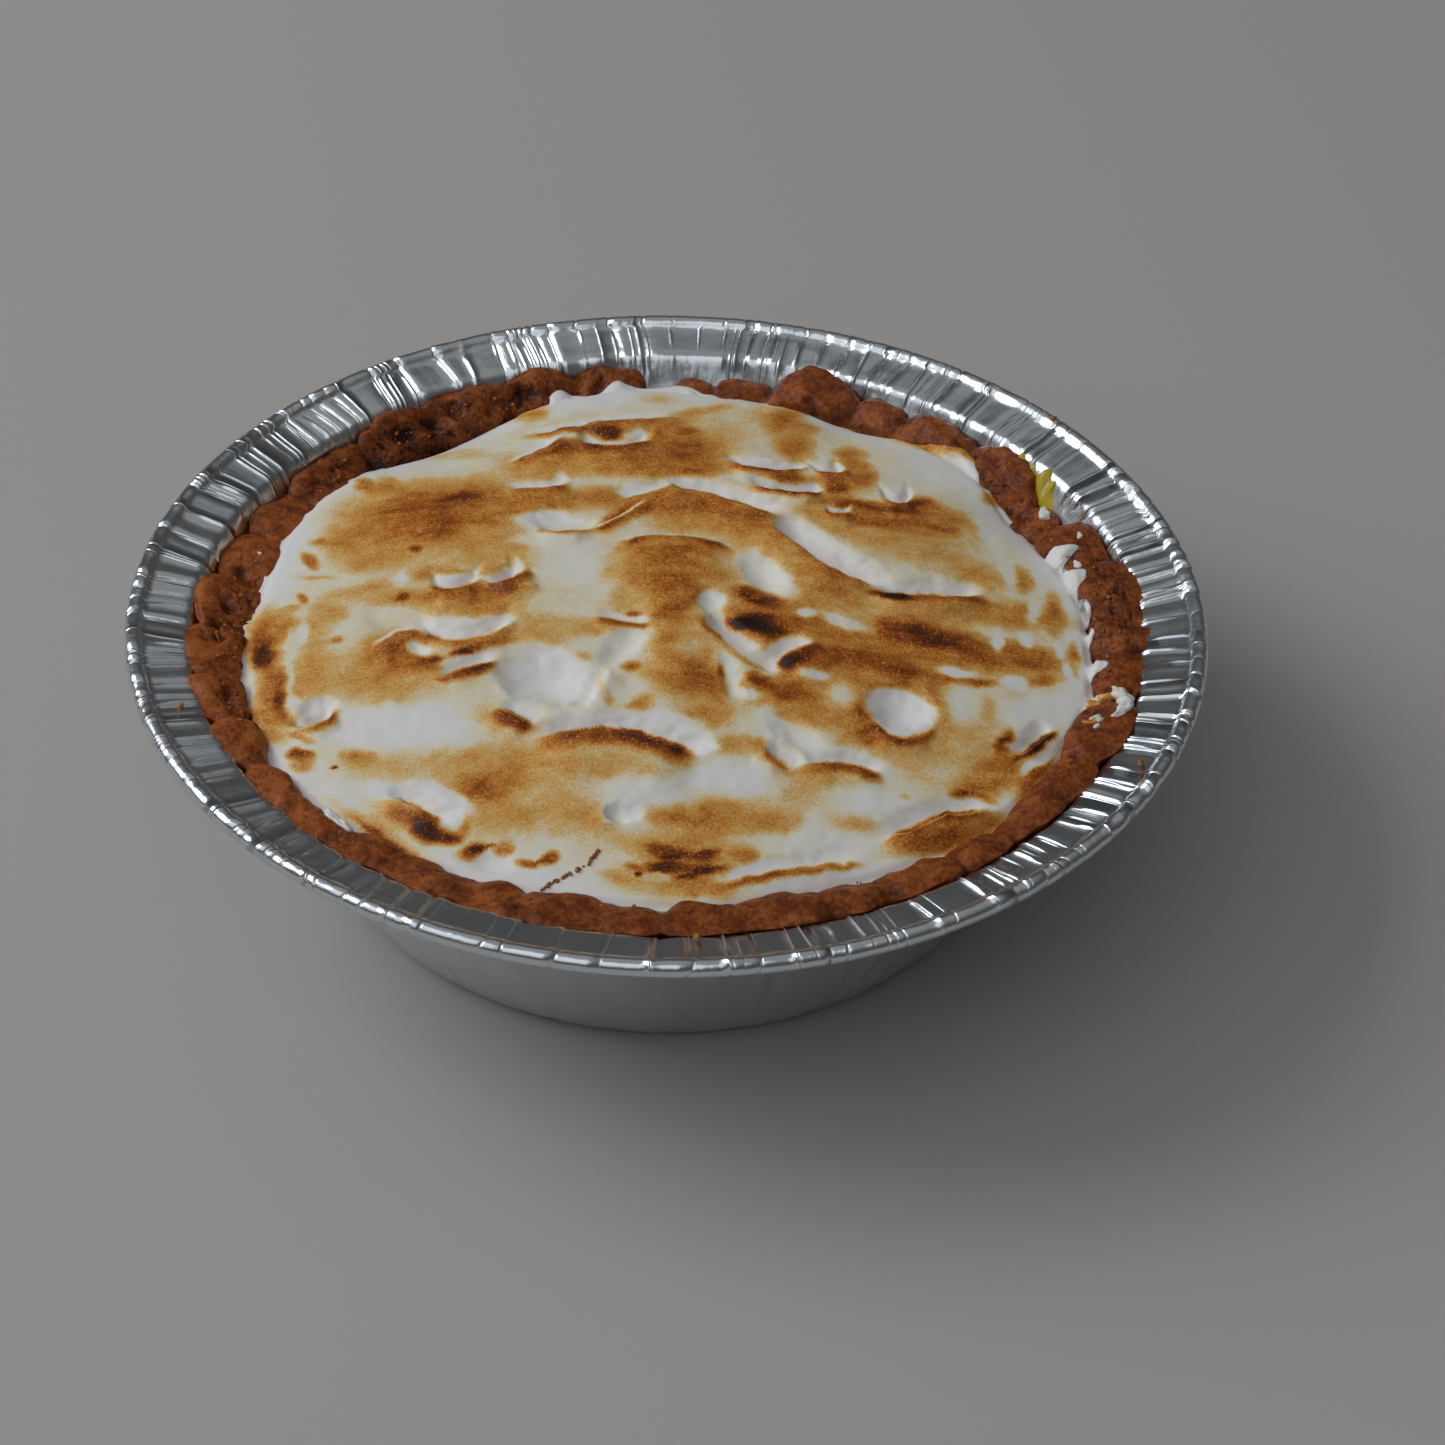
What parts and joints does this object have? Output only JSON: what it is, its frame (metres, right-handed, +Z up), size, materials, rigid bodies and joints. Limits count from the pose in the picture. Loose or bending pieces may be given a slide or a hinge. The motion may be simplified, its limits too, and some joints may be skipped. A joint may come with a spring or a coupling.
{
  "type": "lemon meringue pie",
  "caption": "Small round pie in a crimped foil dish with a rolled rim: lumpy biscuit crust and a domed, folded meringue top scorched brown on its crests.",
  "frame": {"origin": "middle of the dish's base, on the surface it stands on", "axes": "+Z up, the axis of the round dish; -Y towards the front of the pie"},
  "size_m": [0.127, 0.127, 0.0344],
  "materials": {
    "foil": "thin crimped foil, bright, with fine creases",
    "crust": "baked biscuit crust, matt, porous and crumbly",
    "meringue": "soft white meringue, scorched tan to black on its crests, slight sheen",
    "curd": "glossy, half clear lemon curd"
  },
  "bodies": {
    "root": {"foil_dish": "foil", "crust": "crust", "meringue": "meringue", "lemon_curd": "curd"}
  },
  "joints": []
}
